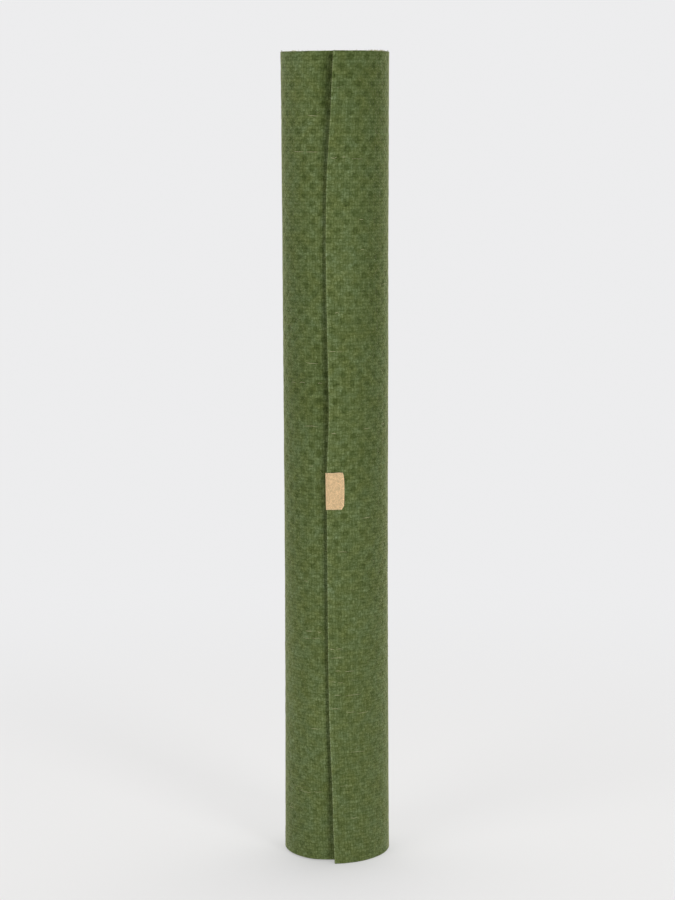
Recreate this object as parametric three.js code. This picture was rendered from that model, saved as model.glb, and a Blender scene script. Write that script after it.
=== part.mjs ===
// A jute yoga mat, rolled up and standing on one end.
//
// The mat is one long sheet, wound into a spiral round an open core. Its turns lie close
// and are one body here. The last stretch of the outer turn stands a little off the turn
// below it, and ends in a free edge that runs down the front, a little left of the middle.
// A small cloth label is folded over that edge, part of the way up.
//
// Millimetres, +Z up. The origin is the centre of the base, and the front faces -Y.

import * as THREE from 'three';

// The mat as it was cut, before it was rolled.
const MAT_WIDTH = 610;
const MAT_LENGTH = 1830;
const MAT_THICKNESS = 2.4;
const HALF_THICKNESS = MAT_THICKNESS / 2;

// How it is wound: what one full turn takes off the radius, going in, and where the
// spiral's own axis stands, so that the whole part's box is centred on the origin.
const TURN_PITCH = 2.55;
const AXIS_X = -0.64;
const AXIS_Y = 1.74;
const FULL_TURN = 360;
const FRONT = -90;

// The loose end of the outer turn: the arc over which it leaves the turn below, how that
// lift grows towards the free edge, the arc over which a crevice shows under it, and how
// far its rounded nose reaches.
const LIFTED_ARC = 50;
const LIFT_POWER = 1.3;
const CREVICE_ARC = 40;
const NOSE_REACH = 0.8;

// The roll from its base to its top. radius is that of the outer turn, edge is how far
// the free edge lies to the left of the front, in degrees, and lift is how far it stands
// off. The roll is slightly waisted, as its cut ends spread.
const ROLL_ROWS = [
  { height: 0, radius: 41.5, edge: 1.4, lift: 2.0 },
  { height: 20, radius: 41.35, edge: 3.1, lift: 1.9 },
  { height: 60, radius: 41.1, edge: 4.1, lift: 1.7 },
  { height: 100, radius: 40.9, edge: 6.1, lift: 1.5 },
  { height: 150, radius: 40.7, edge: 7.9, lift: 1.5 },
  { height: 205, radius: 40.6, edge: 8.6, lift: 1.7 },
  { height: 265, radius: 40.6, edge: 9.2, lift: 2.1 },
  { height: 305, radius: 40.6, edge: 8.8, lift: 2.1 },
  { height: 350, radius: 40.65, edge: 6.3, lift: 1.6 },
  { height: 405, radius: 40.7, edge: 7.6, lift: 1.5 },
  { height: 480, radius: 40.9, edge: 9.2, lift: 1.7 },
  { height: 525, radius: 41.0, edge: 7.1, lift: 1.9 },
  { height: 560, radius: 41.1, edge: 4.0, lift: 2.0 },
  { height: 585, radius: 41.2, edge: 2.6, lift: 2.1 },
  { height: 610, radius: 41.4, edge: 0.4, lift: 2.3 },
];

// The label, from its foot to its top. rise is the height above its foot, reach is how
// far its front leaf runs from the free edge, which leaves the two far corners cut off,
// and slack is how far its fold stands clear of the edge, more at the top as it is askew.
const LABEL_FOOT = 273;
const LABEL_THICKNESS = 1;
const LABEL_CLEARANCE = 0.3;
const LABEL_BACK_REACH = 9;
const LABEL_ROWS = [
  { rise: 0, reach: 12.4, slack: 0.3 },
  { rise: 2.4, reach: 13.6, slack: 0.3 },
  { rise: 10, reach: 14.1, slack: 0.4 },
  { rise: 20, reach: 14.0, slack: 0.5 },
  { rise: 24.2, reach: 13.5, slack: 0.6 },
  { rise: 28.8, reach: 11.9, slack: 0.7 },
];

// How finely curves are cut into flats.
const TURN_STEP = 5;
const ROLL_STEPS = 22;
const CORE_SIDES = 36;
const NOSE_SIDES = 4;
const LEAF_SIDES = 5;

const rollCurves = new THREE.CubicInterpolant(
  ROLL_ROWS.map((row) => row.height),
  ROLL_ROWS.flatMap((row) => [row.radius, row.edge, row.lift]),
  3,
);

// The roll's row at any height, read smoothly between the rows of the table.
function rollRowAt(height) {
  const [radius, edge, lift] = rollCurves.evaluate(height);
  return { height, radius, edge, lift };
}

// A point on or beside the sheet. back is the angle travelled along the sheet from the
// free edge, anticlockwise seen from above, and offset is the distance out from the
// sheet's middle surface.
function sheetPoint(row, back, offset) {
  const open = Math.max(0, 1 - Math.max(0, back) / LIFTED_ARC);
  const wound = row.radius - HALF_THICKNESS - (TURN_PITCH * back) / FULL_TURN;
  const radius = wound + row.lift * open ** LIFT_POWER + offset;
  const angle = THREE.MathUtils.degToRad(FRONT - row.edge + back);
  return new THREE.Vector3(
    AXIS_X + radius * Math.cos(angle),
    AXIS_Y + radius * Math.sin(angle),
    row.height,
  );
}

// The angle that a distance along the outer turn takes up.
function angleOf(row, distance) {
  return THREE.MathUtils.radToDeg(distance / (row.radius + row.lift));
}

// Points along the sheet at one offset, in equal steps from one angle to another.
function runAlong(row, from, to, sides, offset) {
  return Array.from({ length: sides + 1 }, (_, i) =>
    sheetPoint(row, THREE.MathUtils.lerp(from, to, i / sides), offset),
  );
}

// Points round the free edge, on half an ellipse from one side of the sheet to the other,
// without its two ends. side is 1 from the outside in, and -1 from the inside out.
function roundEdge(row, reach, halfWidth, side) {
  return Array.from({ length: NOSE_SIDES - 1 }, (_, i) => {
    const turned = (Math.PI * (i + 1)) / NOSE_SIDES;
    const back = -angleOf(row, reach * Math.sin(turned));
    return sheetPoint(row, back, side * halfWidth * Math.cos(turned));
  });
}

// The roll's outline at one height: once round the outside and on into the crevice under
// the loose end, back along the inside of the loose end, and round its nose.
function rollRing(row) {
  const outsideArc = FULL_TURN + CREVICE_ARC;
  const outsideSides = outsideArc / TURN_STEP;
  const insideSides = CREVICE_ARC / TURN_STEP;
  return [
    ...runAlong(row, 0, outsideArc, outsideSides, HALF_THICKNESS),
    ...runAlong(row, CREVICE_ARC, 0, insideSides, -HALF_THICKNESS),
    ...roundEdge(row, NOSE_REACH, HALF_THICKNESS, -1),
  ];
}

// The number of turns in the roll. Its middle surface runs from the outer radius inwards
// at one pitch a turn, and the turns together use up the mat's length.
function turnCount(outerRadius) {
  const perTurn = outerRadius - HALF_THICKNESS;
  const used = (MAT_LENGTH * TURN_PITCH) / Math.PI;
  return (perTurn - Math.sqrt(perTurn ** 2 - used)) / TURN_PITCH;
}

// The open core's outline: the inside of the innermost turn, which steps where the mat's
// inner end stops.
function coreRing(height) {
  const row = { ...rollRowAt(MAT_WIDTH / 2), height };
  const innerEnd = turnCount(row.radius) * FULL_TURN;
  return runAlong(row, innerEnd - FULL_TURN, innerEnd, CORE_SIDES, -HALF_THICKNESS);
}

// The label's outline at one height: its front leaf out and back, round the inside of the
// fold, its hidden back leaf in and back, and round the outside of the fold.
function labelRing({ rise, reach, slack }) {
  const row = rollRowAt(LABEL_FOOT + rise);
  const inner = HALF_THICKNESS + LABEL_CLEARANCE;
  const outer = inner + LABEL_THICKNESS;
  const innerNose = NOSE_REACH + slack;
  const outerNose = innerNose + LABEL_THICKNESS;
  const front = angleOf(row, reach);
  const behind = angleOf(row, LABEL_BACK_REACH);
  return [
    ...runAlong(row, 0, front, LEAF_SIDES, outer),
    ...runAlong(row, front, 0, LEAF_SIDES, inner),
    ...roundEdge(row, innerNose, inner, 1),
    ...runAlong(row, 0, behind, LEAF_SIDES, -inner),
    ...runAlong(row, behind, 0, LEAF_SIDES, -outer),
    ...roundEdge(row, outerNose, outer, -1),
  ];
}

// The faces of a wall between rings of equal length, one above the other. start is the
// index of the first ring's first point. An inner wall faces the other way.
function wallFaces(start, ringCount, sides, isInner) {
  const faces = [];
  for (let level = 0; level < ringCount - 1; level += 1) {
    for (let i = 0; i < sides; i += 1) {
      const next = (i + 1) % sides;
      const low = start + level * sides;
      const high = low + sides;
      faces.push([low + i, low + next, high + next], [low + i, high + next, high + i]);
    }
  }
  return isInner ? faces.map((face) => face.reverse()) : faces;
}

// The faces of a flat end, facing up, as indices into the ring's points and then the
// core's.
function endFaces(ring, core) {
  const flatten = (point) => new THREE.Vector2(point.x, point.y);
  const outline = ring.map(flatten);
  const holes = core.length > 0 ? [core.map(flatten)] : [];
  const points = [...outline, ...holes.flat()];
  return THREE.ShapeUtils.triangulateShape(outline, holes).map((face) => {
    const facesUp = THREE.ShapeUtils.area(face.map((index) => points[index])) > 0;
    return facesUp ? face : face.toReversed();
  });
}

// A closed body through rings of points that run anticlockwise, with flat ends. cores is
// empty, or the lowest and highest outline of a straight hole through it.
function loft(rings, cores = []) {
  const sides = rings[0].length;
  const coreStart = rings.length * sides;
  const coreSides = cores.length > 0 ? cores[0].length : 0;
  const lastRing = rings.length - 1;
  const indexAt = (level, coreLevel) => (index) =>
    index < sides ? level * sides + index : coreStart + coreLevel * coreSides + index - sides;
  const [lowCore = [], highCore = []] = cores;
  const faces = [
    ...wallFaces(0, rings.length, sides, false),
    ...wallFaces(coreStart, cores.length, coreSides, true),
    ...endFaces(rings[0], lowCore).map((face) => face.toReversed().map(indexAt(0, 0))),
    ...endFaces(rings[lastRing], highCore).map((face) => face.map(indexAt(lastRing, 1))),
  ];
  const points = [...rings.flat(), ...cores.flat()];
  const geometry = new THREE.BufferGeometry().setFromPoints(points);
  geometry.setIndex(faces.flat());
  geometry.computeVertexNormals();
  return geometry;
}

// The wound mat: rings at even heights, and at the label's own rows, so that both follow
// the same flats there.
function rollGeometry() {
  const even = Array.from({ length: ROLL_STEPS + 1 }, (_, i) => (MAT_WIDTH * i) / ROLL_STEPS);
  const beside = LABEL_ROWS.map(({ rise }) => LABEL_FOOT + rise);
  const heights = [...even, ...beside].sort((a, b) => a - b);
  const rings = heights.map((height) => rollRing(rollRowAt(height)));
  return loft(rings, [coreRing(0), coreRing(MAT_WIDTH)]);
}

const jute = new THREE.MeshStandardMaterial({
  color: 0x5a683c,
  roughness: 0.95,
  metalness: 0,
});
const tape = new THREE.MeshStandardMaterial({
  color: 0xd9b48c,
  roughness: 0.85,
  metalness: 0,
});

const roll = new THREE.Mesh(rollGeometry(), jute);
roll.name = 'mat_roll';

const label = new THREE.Mesh(loft(LABEL_ROWS.map(labelRing)), tape);
label.name = 'label';

const yogaMat = new THREE.Group();
yogaMat.add(roll, label);

export default yogaMat;
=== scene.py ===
"""The looks of a jute yoga mat, rolled up and standing on one end.

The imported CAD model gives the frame: metres, +Z up, the front facing -Y. One long sheet of
green jute cloth is wound into a spiral, turn by turn, with its free edge down the front. A
small tape label is folded over that edge, and loose jute fibres lie on the cloth and stand
on its cut edges.
"""

from __future__ import annotations

import functools
import logging
import math
from collections.abc import Sequence
from dataclasses import astuple, dataclass, field
from enum import Enum

import bmesh
import bpy
import numpy as np
from mathutils import Matrix, Vector

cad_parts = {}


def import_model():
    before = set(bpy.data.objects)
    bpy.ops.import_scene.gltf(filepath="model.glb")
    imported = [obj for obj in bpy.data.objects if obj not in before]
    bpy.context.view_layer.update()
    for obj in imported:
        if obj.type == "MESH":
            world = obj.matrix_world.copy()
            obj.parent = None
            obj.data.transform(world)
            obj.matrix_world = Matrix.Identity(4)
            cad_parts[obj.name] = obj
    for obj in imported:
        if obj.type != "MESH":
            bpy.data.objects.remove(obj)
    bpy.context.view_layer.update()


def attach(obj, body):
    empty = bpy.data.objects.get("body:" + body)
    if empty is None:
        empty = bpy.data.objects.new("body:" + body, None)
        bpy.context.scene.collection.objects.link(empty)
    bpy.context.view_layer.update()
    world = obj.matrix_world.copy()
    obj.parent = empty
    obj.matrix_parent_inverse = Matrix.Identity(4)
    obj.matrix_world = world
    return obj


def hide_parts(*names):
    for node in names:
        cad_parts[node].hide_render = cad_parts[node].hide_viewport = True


LOG = logging.getLogger("yoga_mat")

BODY = "root"
MM = 0.001
FULL_TURN = 360.0
CREST = math.pi / 2
JOINED_WITHIN = 0.001 * MM

Array = np.ndarray
Span = tuple[float, float]
Triple = tuple[float, float, float]
Table = tuple[tuple[float, ...], ...]
Colour = Triple
Socket = bpy.types.NodeSocket
Value = Socket | float
Piece = bpy.types.Object
Material = bpy.types.Material


class Slot(Enum):
    """Names for two material slots, which nothing in this script uses."""

    MAT = "jute_mat"
    TAPE = "label_tape"


class Mark(Enum):
    """The point attributes that the finishes read."""

    CUT = "cut_edge"
    # The tone: the dye's changes, with painted light and shade beside the loose end, on the free
    # edge and at the label's fold.
    TONE = "dye_tone"
    HAIR = "hair_tone"


@dataclass
class Shell:
    """Patches of points that meet at shared points, made into one closed mesh.

    Each point has a place, a place on the flat cloth (its UV, in metres) and two marks: how
    much of a cut edge it is, and its tone, which carries the dye's changes and painted light
    and shade.
    """

    places: list[Array] = field(default_factory=list)
    flats: list[Array] = field(default_factory=list)
    marks: list[Array] = field(default_factory=list)
    faces: list[Array] = field(default_factory=list)
    count: int = 0

    def patch(self, places: Array, flats: Array, cut: Array | float, tone: Array | float) -> Array:
        """Adds a grid of points, columns by rows, with a face in each cell.

        A face goes from a point to the next column, up a row, and back, so its front is on
        the side from which the columns run to the right.

        Args:
            places: points, columns by rows by 3.
            flats: places on the flat cloth, columns by rows by 2.
            cut: 0 on the face of the cloth and 1 on a cut edge.
            tone: 1 for the plain dye; below 1 for darker dye and painted shade, above 1 for lighter
                dye and painted light.

        Returns:
            The index of each point, columns by rows.
        """
        shape = places.shape[:2]
        index = self.count + np.arange(math.prod(shape)).reshape(shape)
        self.places.append(places.reshape(-1, 3))
        self.flats.append(flats.reshape(-1, 2))
        both = [np.broadcast_to(mark, shape).reshape(-1) for mark in (cut, tone)]
        self.marks.append(np.stack(both, axis=-1))
        self.count += index.size
        cells = (index[:-1, :-1], index[1:, :-1], index[1:, 1:], index[:-1, 1:])
        self.faces.append(np.stack(cells, axis=-1).reshape(-1, 4))
        return index

    def bridge(self, left: Array, right: Array, outwards: bool) -> None:
        """Fills the strip between two lines of points of different counts with triangles.

        Both lines run up. Their edges are merged in order of the height of their middles,
        and each edge makes a triangle with the point that the other line has got to.

        Args:
            left: indices up the first line.
            right: indices up the second line.
            outwards: whether the strip's front is the side from which the left line is seen
                on the right.
        """
        height = np.concatenate(self.places)[:, 2]
        left_middle = (height[left[:-1]] + height[left[1:]]) / 2
        right_middle = (height[right[:-1]] + height[right[1:]]) / 2
        reached = right[np.searchsorted(right_middle, left_middle, side="right")]
        passed = left[np.searchsorted(left_middle, right_middle, side="left")]
        up = np.stack((left[:-1], left[1:], reached), axis=-1)
        down = np.stack((right[1:], right[:-1], passed), axis=-1)
        triangles = np.concatenate((up, down))
        self.faces.append(triangles if outwards else triangles[:, ::-1])

    def mesh(self, name: str) -> Piece:
        """Joins the points that coincide and makes the object.

        Args:
            name: the piece's name.

        Returns:
            The new object, smooth shaded, with a UV map in metres.
        """
        places = np.concatenate(self.places)
        grid = np.round(places / JOINED_WITHIN).astype(np.int64)
        _, first, joined = np.unique(grid, axis=0, return_index=True, return_inverse=True)
        faces = [joined.reshape(-1)[face] for face in self.faces]
        whole = [
            face[np.all(face != np.roll(face, 1, axis=1), axis=1)] if face.shape[1] == 3 else face
            for face in faces
        ]
        cut, tone = np.concatenate(self.marks)[first].T
        marks = {Mark.CUT: cut, Mark.TONE: tone}
        return new_piece(name, places[first], whole, marks, np.concatenate(self.flats)[first])


def new_piece(
    name: str,
    places: Array,
    faces: Sequence[Array],
    marks: dict[Mark, Array],
    flats: Array | None = None,
) -> Piece:
    """Makes a smooth shaded mesh object from arrays.

    Args:
        name: the piece's name.
        places: points by 3, in metres.
        faces: arrays of faces, each of one number of corners.
        marks: point attributes.
        flats: places on the flat cloth, points by 2, or None.

    Returns:
        The new object, at the origin.
    """
    mesh = bpy.data.meshes.new(name)
    mesh.from_pydata(places.tolist(), [], [face for group in faces for face in group.tolist()])
    for mark, values in marks.items():
        attribute = mesh.attributes.new(mark.value, "FLOAT", "POINT")
        attribute.data.foreach_set("value", values.astype(np.float32))
    if flats is not None:
        corner = np.empty(len(mesh.loops), np.int32)
        mesh.loops.foreach_get("vertex_index", corner)
        layer = mesh.uv_layers.new(name="cloth")
        layer.data.foreach_set("uv", flats[corner].astype(np.float32).ravel())
    mesh.polygons.foreach_set("use_smooth", np.ones(len(mesh.polygons), bool))
    mesh.update()
    piece = bpy.data.objects.new(name, mesh)
    bpy.context.scene.collection.objects.link(piece)
    return piece


def unit(vectors: Array) -> Array:
    """The same vectors at length one."""
    return vectors / np.linalg.norm(vectors, axis=-1, keepdims=True)


def settle(piece: Piece, finish: Material) -> None:
    """Gives a piece its body and its finish, and reports it.

    Args:
        piece: the finished mesh.
        finish: its material.
    """
    piece.data.materials.append(finish)
    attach(piece, BODY)
    mesh = piece.data
    LOG.info("%s: %d points, %d faces", piece.name, len(mesh.vertices), len(mesh.polygons))


def smoothstep(low: float, high: float, values: Array) -> Array:
    """0 below low, 1 above high, and 3t^2 - 2t^3 between them."""
    share = np.clip((values - low) / (high - low), 0.0, 1.0)
    return share * share * (3.0 - 2.0 * share)


def bell(distance: Array) -> Array:
    """The exponential of minus the squared distance."""
    return np.exp(-(distance**2))


@dataclass(frozen=True)
class Unevenness:
    """A gentle unevenness: sine waves of given lengths in seeded directions, averaged."""

    size: float
    lengths: tuple[float, ...]
    seed: int

    def at(self, u: Array, v: Array) -> Array:
        """The unevenness at points of the cloth: about minus the size to the size.

        Args:
            u: distance along the cloth.
            v: distance up the cloth.

        Returns:
            The values, in the shape of u.
        """
        draw = np.random.default_rng(self.seed)
        heading = draw.uniform(0.0, math.pi, len(self.lengths))
        phase = draw.uniform(0.0, math.tau, len(self.lengths))
        metres = np.array(self.lengths) * MM
        turns = (u[..., None] * np.cos(heading) + v[..., None] * np.sin(heading)) / metres
        return self.size * np.sin(math.tau * turns + phase).mean(axis=-1) * math.sqrt(2.0)


@dataclass(frozen=True)
class DotPattern:
    """The round dots pressed into the cloth, in a square grid that stands on its corner.

    Two counts rise along the two diagonals of the cloth, and a dot lies where both are whole
    numbers. Each count is its rate along the cloth times u, plus its rate up the cloth times
    v, less a start.
    """

    rising: Triple = (79.0, 77.3, 0.775)
    falling: Triple = (78.6, -74.0, 0.085)
    bottom: float = 0.08
    brim: float = 0.36
    depth: float = 0.24 * MM

    def hollow(self, u: Array, v: Array) -> Array:
        """How far each point of the cloth is pressed in.

        The distance to the nearest dot is the hypotenuse of both counts' distances from
        their nearest whole numbers, and a smooth step of it makes a round hollow.

        Args:
            u: distance along the cloth.
            v: distance up the cloth.

        Returns:
            0 on the face of the cloth to the depth in the middle of a dot.
        """
        first, second = (
            along * u + up * v - start for along, up, start in (self.rising, self.falling)
        )
        away = np.hypot(first - np.round(first), second - np.round(second))
        return self.depth * (1.0 - smoothstep(self.bottom, self.brim, away))


@dataclass(frozen=True)
class ToneAndPaintedLight:
    """How the cloth's tone changes over it: its dye, and painted light and shade.

    A patch is its middle along and up the cloth and its half widths, all in millimetres, and
    how much lighter the cloth is there, or darker below 0. The patches whose middles lie 234
    to 240 mm along sit just left of the free edge's line, on the turn below it: they are
    painted shade and painted light that set the width and depth of the loose end's shadow.
    The others make the cloth lighter or darker in broad places. The free edge has a pale
    band, partly its pale cut fibres and partly a painted highlight. From just left of the
    free edge's line inwards, under the loose end and on the inner turns, painted shade
    darkens the cloth and shows in the crevice beside the loose end.
    """

    patches: Table = (
        (36, 430, 14, 190, -0.19), (217, 410, 12, 170, -0.12),
        (25, 595, 40, 55, -0.13), (120, 300, 20, 200, -0.09),
        (165, 520, 15, 120, -0.1), (11, 448, 9, 20, 0.09),
        (205, 145, 8, 90, 0.14), (222, 570, 12, 60, 0.09),
        # These five lie just left of the free edge's line: painted shade and painted light that set
        # the loose end's shadow.
        (235, 588, 6, 27, -0.3), (240, 485, 4, 35, 0.14),
        (237, 362, 5, 32, -0.16), (239, 293, 4, 20, 0.12),
        (234, 110, 9, 28, 0.13),
    )
    # A pale band along the free edge: its pale cut fibres, and a painted highlight.
    pale_edge_and_highlight: float = 0.40
    pale_edge_and_highlight_width: float = 1.2 * MM
    # Painted shade in the crevice beside the loose end, carried on under it and over the inner
    # turns.
    painted_crevice_shade: float = -0.14
    painted_crevice_shade_over: Span = (357.5, 361.0)

    def at(self, u: Array, v: Array, back: Array) -> Array:
        """The dye's tone at points of the cloth.

        It is 1, plus each patch's change times a bell of the distance from its middle in
        half widths, plus the free edge's pale band, partly a painted highlight, and the painted
        shade beside and under the loose end.

        Args:
            u: distance along the cloth.
            v: distance up the cloth.
            back: the angle from the free edge, in degrees.

        Returns:
            The tone of every point.
        """
        # The free edge's pale band: pale cut fibres and a painted highlight.
        tone = 1.0 + self.pale_edge_and_highlight * bell(np.maximum(u, 0.0) / self.pale_edge_and_highlight_width)
        # Painted shade from just left of the free edge's line inwards.
        tone = tone + self.painted_crevice_shade * smoothstep(*self.painted_crevice_shade_over, back)
        for middle_u, middle_v, half_u, half_v, change in self.patches:
            away = np.hypot((u / MM - middle_u) / half_u, (v / MM - middle_v) / half_v)
            tone = tone + change * bell(away)
        return tone


@dataclass(frozen=True)
class Winding:
    """The spiral that the cloth is wound into, as the CAD model has it, in metres.

    back is the angle in degrees travelled along the sheet from its free edge, anticlockwise
    seen from above. A table gives, for heights from the base up, the outer radius, how far
    the free edge lies to the left of the front in degrees, how far the loose end stands off,
    how far the turns beside and under it are pressed in, and over what width beside it. It
    is read by a smooth curve. A sway is its share of the whole, its waves in a turn, how far
    it shifts from turn to turn, and its phase.
    """

    mat_width: float = 610 * MM
    mat_length: float = 1830 * MM
    thickness: float = 2.4 * MM
    pitch: float = 2.55 * MM
    axis: Span = (-0.64 * MM, 1.74 * MM)
    front: float = -90.0
    lifted_arc: float = 50.0
    lift_power: float = 1.3
    table: Table = (
        (0, 41.7, 1.2, 2, 2.5, 24), (20, 41.55, 2.35, 1.9, 2.3, 20),
        (60, 41.3, 3.7, 1.5, 1.8, 8), (100, 41.1, 5.97, 1.1, 1.4, 4.5),
        (150, 40.9, 7.4, 1, 1.3, 4.5), (205, 40.75, 7.9, 1.2, 1.5, 6),
        (265, 40.7, 8.15, 1.6, 1.7, 6.5), (302, 40.75, 8, 2, 2, 9),
        (340, 40.85, 6.1, 1.7, 2.1, 11), (405, 41, 7.25, 1.6, 1.9, 9.5),
        (480, 41, 8.45, 1.1, 1.3, 5), (525, 41.2, 6.75, 1.6, 1.9, 8),
        (560, 41.25, 3.65, 2, 2.4, 12), (585, 41.3, 2, 2.1, 2.9, 17),
        (610, 41.5, 0.3, 2.3, 3, 18),
    )
    middle_radius: float = 39.6 * MM
    outer_radius: float = 41.6 * MM
    waist_radius: float = 40.6 * MM
    dip_ends_over: Span = (8.0, 60.0)
    dip_fading: float = 0.3
    sway: float = 0.5 * MM
    sways_from: Span = (1.2, 6.0)
    sways: Table = ((0.6, 2.0, 0.5, 0.0), (0.4, 3.0, -0.6, 1.0))

    def read(self, height: Array) -> tuple[Array, Array, Array, Array, Array]:
        """Reads the table at given heights.

        A cubic goes through each pair of rows, with the slope at a row taken from the rows
        on both sides of it.

        Args:
            height: heights above the base.

        Returns:
            The outer radius, the free edge's angle, the lift, and the dip's depth and width.
        """
        rows = np.array(self.table)
        knots = rows[:, 0] * MM
        slopes = np.gradient(rows[:, 1:], knots, axis=0)
        held = np.clip(height, knots[0], knots[-1])
        low = np.clip(np.searchsorted(knots, held, side="right") - 1, 0, len(knots) - 2)
        gap = knots[low + 1] - knots[low]
        share = ((held - knots[low]) / gap)[..., None]
        start, end = rows[low, 1:], rows[low + 1, 1:]
        rise, fall = slopes[low] * gap[..., None], slopes[low + 1] * gap[..., None]
        curve = (
            (2 * share**3 - 3 * share**2 + 1) * start
            + (share**3 - 2 * share**2 + share) * rise
            + (3 * share**2 - 2 * share**3) * end
            + (share**3 - share**2) * fall
        )
        outer, edge, lift, deepest, width = np.moveaxis(curve, -1, 0)
        return outer * MM, edge, lift * MM, deepest * MM, width * MM

    def dipped(self, back: Array, deepest: Array, width: Array) -> Array:
        """How far the turns are pressed in beside and under the loose end.

        On the left of the free edge's line the dip deepens by a smooth step over its width.
        Under the loose end it is held, and then fades by a smooth step. It also fades a
        little from turn to turn, towards the core.

        Args:
            back: angles from the free edge.
            deepest: the dip's depth at the points' heights.
            width: its width beside the free edge's line.

        Returns:
            The distance that each point moves towards the axis.
        """
        half_turn = FULL_TURN / 2
        beside = (back + half_turn) % FULL_TURN - half_turn
        near = smoothstep(-1.0, 0.0, beside / self.angle_of(width))
        under = 1.0 - smoothstep(*self.dip_ends_over, beside)
        fading = 1.0 - self.dip_fading * smoothstep(1.0, self.turns(), back / FULL_TURN)
        return deepest * np.where(beside < 0.0, near, under) * fading * (back > half_turn)

    def radius(self, back: Array, height: Array) -> Array:
        """The distance of the sheet's middle surface from the axis.

        It is the outer radius less half the thickness, less one pitch a turn, less the dip,
        plus the lift, which falls to nothing over the loose end's arc. Inside the second
        turn the sheet also sways in and out by sine waves, as wound cloth does.

        Args:
            back: angles from the free edge.
            height: heights above the base.

        Returns:
            The radii.
        """
        outer, _, lift, deepest, width = self.read(height)
        opened = np.clip(1.0 - np.maximum(back, 0.0) / self.lifted_arc, 0.0, None)
        turn = back / FULL_TURN
        wound = outer - self.thickness / 2 - self.pitch * turn
        swung = sum(
            share * np.sin(np.radians(count * back) + shift * turn + phase)
            for share, count, shift, phase in self.sways
        )
        swayed = self.sway * smoothstep(*self.sways_from, turn) * swung
        return wound + lift * opened**self.lift_power + swayed - self.dipped(back, deepest, width)

    def bearing(self, back: Array, height: Array) -> Array:
        """The direction of points from the axis, in radians anticlockwise from the right."""
        return np.radians(self.front - self.read(height)[1] + back)

    def place(self, back: Array, height: Array, offset: Array | float) -> Array:
        """Points on or beside the sheet.

        A point stands at its height, in its bearing from the axis, at the sheet's radius
        there plus the offset.

        Args:
            back: angles from the free edge.
            height: heights above the base.
            offset: distances out from the sheet's middle surface.

        Returns:
            The points, in the shape of the angles by 3.
        """
        reach = self.radius(back, height) + offset
        bearing = self.bearing(back, height)
        x = self.axis[0] + reach * np.cos(bearing)
        y = self.axis[1] + reach * np.sin(bearing)
        return np.stack(np.broadcast_arrays(x, y, height), axis=-1)

    def outward(self, back: Array, height: Array) -> Array:
        """The level directions of length one away from the axis at points of the sheet."""
        bearing = self.bearing(back, height)
        return np.stack((np.cos(bearing), np.sin(bearing), np.zeros(bearing.shape)), axis=-1)

    def along(self, back: Array) -> Array:
        """Distance along the flat cloth from the free edge: the spiral's length."""
        turned = np.radians(back)
        return self.middle_radius * turned - self.pitch / (2 * math.tau) * turned**2

    def back_of(self, along: Array) -> Array:
        """The angle at a distance along the flat cloth: along solved for its root."""
        bend, first = self.pitch / math.tau, self.middle_radius
        return np.degrees((first - np.sqrt(first**2 - 2 * bend * along)) / bend)

    def angle_of(self, distance: Array | float) -> Array | float:
        """The angle in degrees that a short distance along the outer turn takes up."""
        return np.degrees(distance / self.outer_radius)

    def turns(self) -> float:
        """The number of turns that the cloth's length makes at one pitch a turn."""
        first = self.waist_radius - self.thickness / 2
        return (first - math.sqrt(first**2 - self.mat_length * self.pitch / math.pi)) / self.pitch


@dataclass(frozen=True)
class Strands:
    """A group of fibres: their paths beside the sheet, their thickness and their shade."""

    back: Array
    height: Array
    offset: Array
    radius: Array
    tone: Array

    def build(self, name: str, winding: Winding, sides: int, upward: float = 0.0) -> Piece:
        """Makes the fibres as one mesh.

        A ring of points goes round every point of a path, in the plane across it: the path's
        own direction crossed with the outward one gives the ring's first axis, and that
        crossed with the direction gives its second. A flat face closes each end.

        Args:
            name: the piece's name.
            winding: the sheet that the fibres are beside.
            sides: the number of points in a ring.
            upward: how far the outward direction is tipped up, so that no path lies along it.

        Returns:
            The new object.
        """
        paths = winding.place(self.back, self.height, self.offset)
        outward = winding.outward(self.back, self.height) + np.array([0.0, 0.0, upward])
        along = unit(np.gradient(paths, axis=1))
        across = unit(np.cross(along, outward))
        over = np.cross(across, along)
        turned = np.arange(sides) * math.tau / sides
        rings = (
            paths[:, :, None]
            + (self.radius[..., None] * np.cos(turned))[..., None] * across[:, :, None]
            + (self.radius[..., None] * np.sin(turned))[..., None] * over[:, :, None]
        )
        index = np.arange(rings[..., 0].size).reshape(rings.shape[:3])
        following = np.roll(index, -1, axis=2)
        walls = (index[:, :-1], following[:, :-1], following[:, 1:], index[:, 1:])
        sleeves = np.stack(walls, axis=-1).reshape(-1, 4)[:, ::-1]
        shades = np.repeat(self.tone, index[0].size)
        faces = [sleeves, index[:, 0], index[:, -1, ::-1]]
        return new_piece(name, rings.reshape(-1, 3), faces, {Mark.HAIR: shades})


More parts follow.
